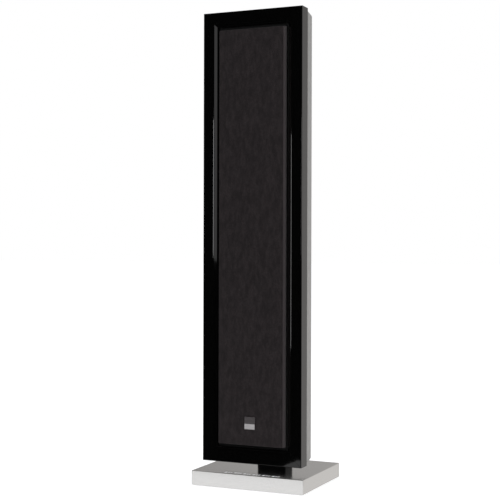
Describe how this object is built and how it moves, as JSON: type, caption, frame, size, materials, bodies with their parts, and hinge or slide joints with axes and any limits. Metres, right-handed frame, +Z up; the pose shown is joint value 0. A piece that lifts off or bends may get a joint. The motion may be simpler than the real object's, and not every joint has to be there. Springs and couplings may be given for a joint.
{
  "type": "floorstanding loudspeaker",
  "caption": "Slim floorstanding loudspeaker: shallow framed cabinet with pull-off cloth grille, cone drivers and dome tweeter, held by a rear column on a metal base.",
  "frame": {"origin": "on the floor under the middle of the base plate", "axes": "+Z up, the grille faces -Y, +X is to the right of a listener facing the speaker"},
  "size_m": [0.27, 0.228, 1.064],
  "materials": {
    "gloss_frame": "high gloss black",
    "shell": "fine metallic silver-grey paint",
    "baffle_board": "black painted board",
    "black_plastic": "fine satin",
    "grille_fabric": "woven",
    "badge_dark": "brushed dark grey",
    "badge_light": "polished",
    "foam": "open foam",
    "cast_basket": "black die cast",
    "plated_steel": "zinc plated",
    "cone_paper": "coated fibre",
    "soft_rubber": "matte",
    "dome_metal": "satin",
    "gold_plate": "gold plated",
    "board_green": "solder mask",
    "copper_coil": "enamelled copper wire",
    "column_paint": "satin black",
    "base_metal": "fine satin"
  },
  "bodies": {
    "speaker": {"frame_bottom_rail": "gloss_frame", "frame_left_stile": "gloss_frame", "frame_top_rail": "gloss_frame", "frame_right_stile": "gloss_frame", "front_baffle": "baffle_board", "baffle_gasket": "foam", "rear_shell": "shell", "shell_brace": "baffle_board", "damping_pad": "foam", "midrange_basket": "cast_basket", "midrange_motor": "plated_steel", "midrange_surround": "soft_rubber", "woofer_upper_basket": "cast_basket", "woofer_upper_motor": "plated_steel", "woofer_upper_surround": "soft_rubber", "woofer_lower_basket": "cast_basket", "woofer_lower_motor": "plated_steel", "woofer_lower_surround": "soft_rubber", "tweeter_faceplate": "black_plastic", "tweeter_motor": "plated_steel", "mid_chamber": "black_plastic", "port_tube": "black_plastic", "crossover_board": "board_green", "crossover_coil_1": "copper_coil", "crossover_coil_2": "copper_coil", "crossover_capacitor": "black_plastic", "wiring_loom": "soft_rubber", "terminal_panel": "black_plastic", "terminal_post_1": "gold_plate", "terminal_post_2": "gold_plate", "mounting_plate": "plated_steel", "bracket_lower": "column_paint", "bracket_upper": "column_paint", "column": "column_paint", "column_cover": "black_plastic", "column_cap": "black_plastic", "column_foot_block": "plated_steel", "column_bolt_1": "plated_steel", "column_bolt_2": "plated_steel", "base_plate": "base_metal", "base_pad_1": "soft_rubber", "base_pad_2": "soft_rubber", "base_pad_3": "soft_rubber", "base_pad_4": "soft_rubber"},
    "grille": {"grille_frame": "black_plastic", "grille_cloth": "grille_fabric", "badge_plate": "badge_dark", "badge_stripe": "badge_light"},
    "midrange_diaphragm": {"midrange_cone": "cone_paper", "midrange_dust_cap": "cone_paper"},
    "woofer_upper_diaphragm": {"woofer_upper_cone": "cone_paper", "woofer_upper_dust_cap": "cone_paper"},
    "woofer_lower_diaphragm": {"woofer_lower_cone": "cone_paper", "woofer_lower_dust_cap": "cone_paper"},
    "tweeter_diaphragm": {"tweeter_dome": "dome_metal"},
    "clamp_washer_1": {"terminal_washer_1": "gold_plate"},
    "clamp_washer_2": {"terminal_washer_2": "gold_plate"},
    "clamp_cap_1": {"terminal_cap_1": "black_plastic"},
    "clamp_cap_2": {"terminal_cap_2": "black_plastic"}
  },
  "joints": [
    {"name": "grille_pull", "type": "slide", "parent": "speaker", "child": "grille", "axis": [0, -1, 0], "range_m": [0, 0.05]},
    {"name": "midrange_travel", "type": "slide", "parent": "speaker", "child": "midrange_diaphragm", "axis": [0, -1, 0], "range_m": [-0.002, 0.002], "stiffness_N_per_m": 1500},
    {"name": "woofer_upper_travel", "type": "slide", "parent": "speaker", "child": "woofer_upper_diaphragm", "axis": [0, -1, 0], "range_m": [-0.004, 0.004], "stiffness_N_per_m": 1200},
    {"name": "woofer_lower_travel", "type": "slide", "parent": "speaker", "child": "woofer_lower_diaphragm", "axis": [0, -1, 0], "range_m": [-0.004, 0.004], "stiffness_N_per_m": 1200},
    {"name": "tweeter_travel", "type": "slide", "parent": "speaker", "child": "tweeter_diaphragm", "axis": [0, -1, 0], "range_m": [-0.0005, 0.0005], "stiffness_N_per_m": 1000},
    {"name": "clamp_1_open", "type": "slide", "parent": "speaker", "child": "clamp_washer_1", "axis": [0, 1, 0], "range_m": [0, 0.003]},
    {"name": "cap_1_turn", "type": "hinge", "parent": "clamp_washer_1", "child": "clamp_cap_1", "pos_m": [0.068, 0, 0.172], "axis": [0, 1, 0], "range_deg": [0, 1080]},
    {"name": "clamp_2_open", "type": "slide", "parent": "speaker", "child": "clamp_washer_2", "axis": [0, 1, 0], "range_m": [0, 0.003]},
    {"name": "cap_2_turn", "type": "hinge", "parent": "clamp_washer_2", "child": "clamp_cap_2", "pos_m": [0.068, 0, 0.136], "axis": [0, 1, 0], "range_deg": [0, 1080]}
  ],
  "couplings": [
    {"joint": "clamp_1_open", "follows": "cap_1_turn", "m_per_rad": 0.00015915},
    {"joint": "clamp_2_open", "follows": "cap_2_turn", "m_per_rad": 0.00015915}
  ]
}
